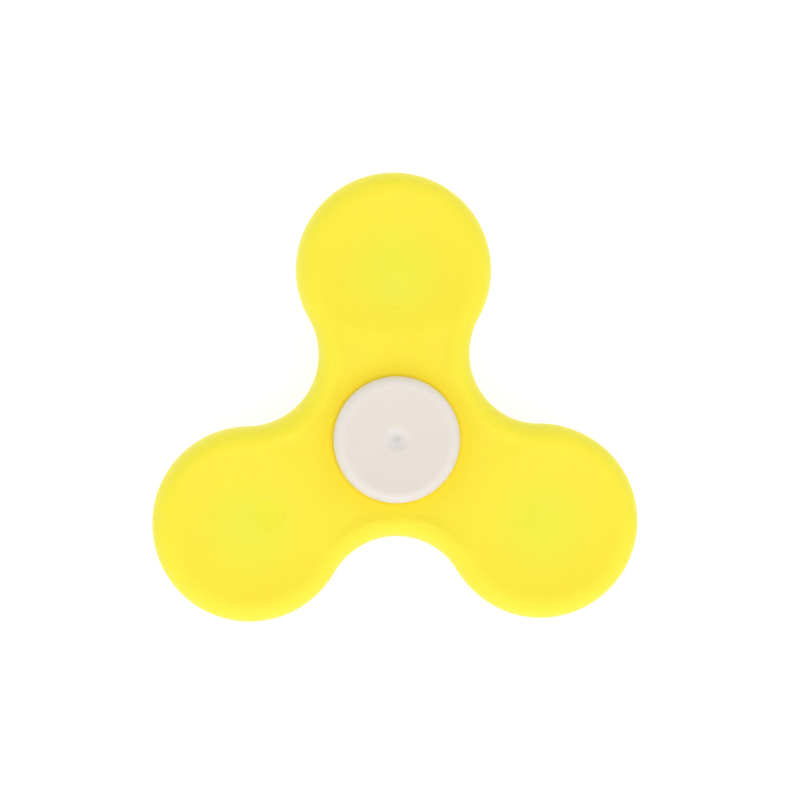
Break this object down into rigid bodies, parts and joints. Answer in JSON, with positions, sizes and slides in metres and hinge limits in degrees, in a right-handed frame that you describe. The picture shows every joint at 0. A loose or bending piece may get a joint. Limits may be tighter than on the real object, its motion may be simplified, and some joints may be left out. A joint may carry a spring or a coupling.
{
  "type": "fidget spinner",
  "caption": "Handheld spinner toy: a hollow plastic body with dished round lobes turns on a central ball bearing between two dished finger caps.",
  "frame": {"origin": "on the spin axis, in the plane of the lower cap's rim, which the spinner rests on", "axes": "+Z along the spin axis, out of the upper cap; +Y through the centre of one lobe at rest"},
  "size_m": [0.075, 0.069, 0.0134],
  "materials": {
    "yellow_plastic": "glossy moulded ABS, coloured right through",
    "cap_plastic": "satin, milky natural plastic",
    "weight_steel": "tumbled punched steel",
    "screw_steel": "bright zinc plate",
    "ring_steel": "ground bearing steel",
    "shield_steel": "pressed sheet, satin",
    "cage_steel": "pressed sheet, satin",
    "ball_steel": "polished"
  },
  "bodies": {
    "hub": {"upper_finger_cap": "cap_plastic", "lower_finger_cap": "cap_plastic", "bearing_inner_ring": "ring_steel"},
    "rotor": {"upper_body_shell": "yellow_plastic", "lower_body_shell": "yellow_plastic", "shell_screws": "screw_steel", "counterweight_1": "weight_steel", "counterweight_2": "weight_steel", "counterweight_3": "weight_steel", "bearing_outer_ring": "ring_steel", "bearing_upper_shield": "shield_steel", "bearing_lower_shield": "shield_steel"},
    "cage": {"cage_upper_half": "cage_steel", "cage_lower_half": "cage_steel", "cage_rivets": "cage_steel"},
    "ball_1": {"bearing_ball_1": "ball_steel"},
    "ball_2": {"bearing_ball_2": "ball_steel"},
    "ball_3": {"bearing_ball_3": "ball_steel"},
    "ball_4": {"bearing_ball_4": "ball_steel"},
    "ball_5": {"bearing_ball_5": "ball_steel"},
    "ball_6": {"bearing_ball_6": "ball_steel"},
    "ball_7": {"bearing_ball_7": "ball_steel"}
  },
  "joints": [
    {"name": "spin", "type": "hinge", "parent": "hub", "child": "rotor", "pos_m": [0, 0, 0.0067], "axis": [0, 0, 1], "continuous": true},
    {"name": "cage_orbit", "type": "hinge", "parent": "hub", "child": "cage", "pos_m": [0, 0, 0.0067], "axis": [0, 0, 1], "continuous": true},
    {"name": "ball_1_roll", "type": "hinge", "parent": "cage", "child": "ball_1", "pos_m": [0, 0.0075, 0.0067], "axis": [0, 0, 1], "continuous": true},
    {"name": "ball_2_roll", "type": "hinge", "parent": "cage", "child": "ball_2", "pos_m": [-0.00586, 0.00468, 0.0067], "axis": [0, 0, 1], "continuous": true},
    {"name": "ball_3_roll", "type": "hinge", "parent": "cage", "child": "ball_3", "pos_m": [-0.00731, -0.00167, 0.0067], "axis": [0, 0, 1], "continuous": true},
    {"name": "ball_4_roll", "type": "hinge", "parent": "cage", "child": "ball_4", "pos_m": [-0.00325, -0.00676, 0.0067], "axis": [0, 0, 1], "continuous": true},
    {"name": "ball_5_roll", "type": "hinge", "parent": "cage", "child": "ball_5", "pos_m": [0.00325, -0.00676, 0.0067], "axis": [0, 0, 1], "continuous": true},
    {"name": "ball_6_roll", "type": "hinge", "parent": "cage", "child": "ball_6", "pos_m": [0.00731, -0.00167, 0.0067], "axis": [0, 0, 1], "continuous": true},
    {"name": "ball_7_roll", "type": "hinge", "parent": "cage", "child": "ball_7", "pos_m": [0.00586, 0.00468, 0.0067], "axis": [0, 0, 1], "continuous": true}
  ],
  "couplings": [
    {"joint": "cage_orbit", "follows": "spin", "ratio": 0.6323},
    {"joint": "ball_1_roll", "follows": "spin", "ratio": 1.7573},
    {"joint": "ball_2_roll", "follows": "spin", "ratio": 1.7573},
    {"joint": "ball_3_roll", "follows": "spin", "ratio": 1.7573},
    {"joint": "ball_4_roll", "follows": "spin", "ratio": 1.7573},
    {"joint": "ball_5_roll", "follows": "spin", "ratio": 1.7573},
    {"joint": "ball_6_roll", "follows": "spin", "ratio": 1.7573},
    {"joint": "ball_7_roll", "follows": "spin", "ratio": 1.7573}
  ]
}
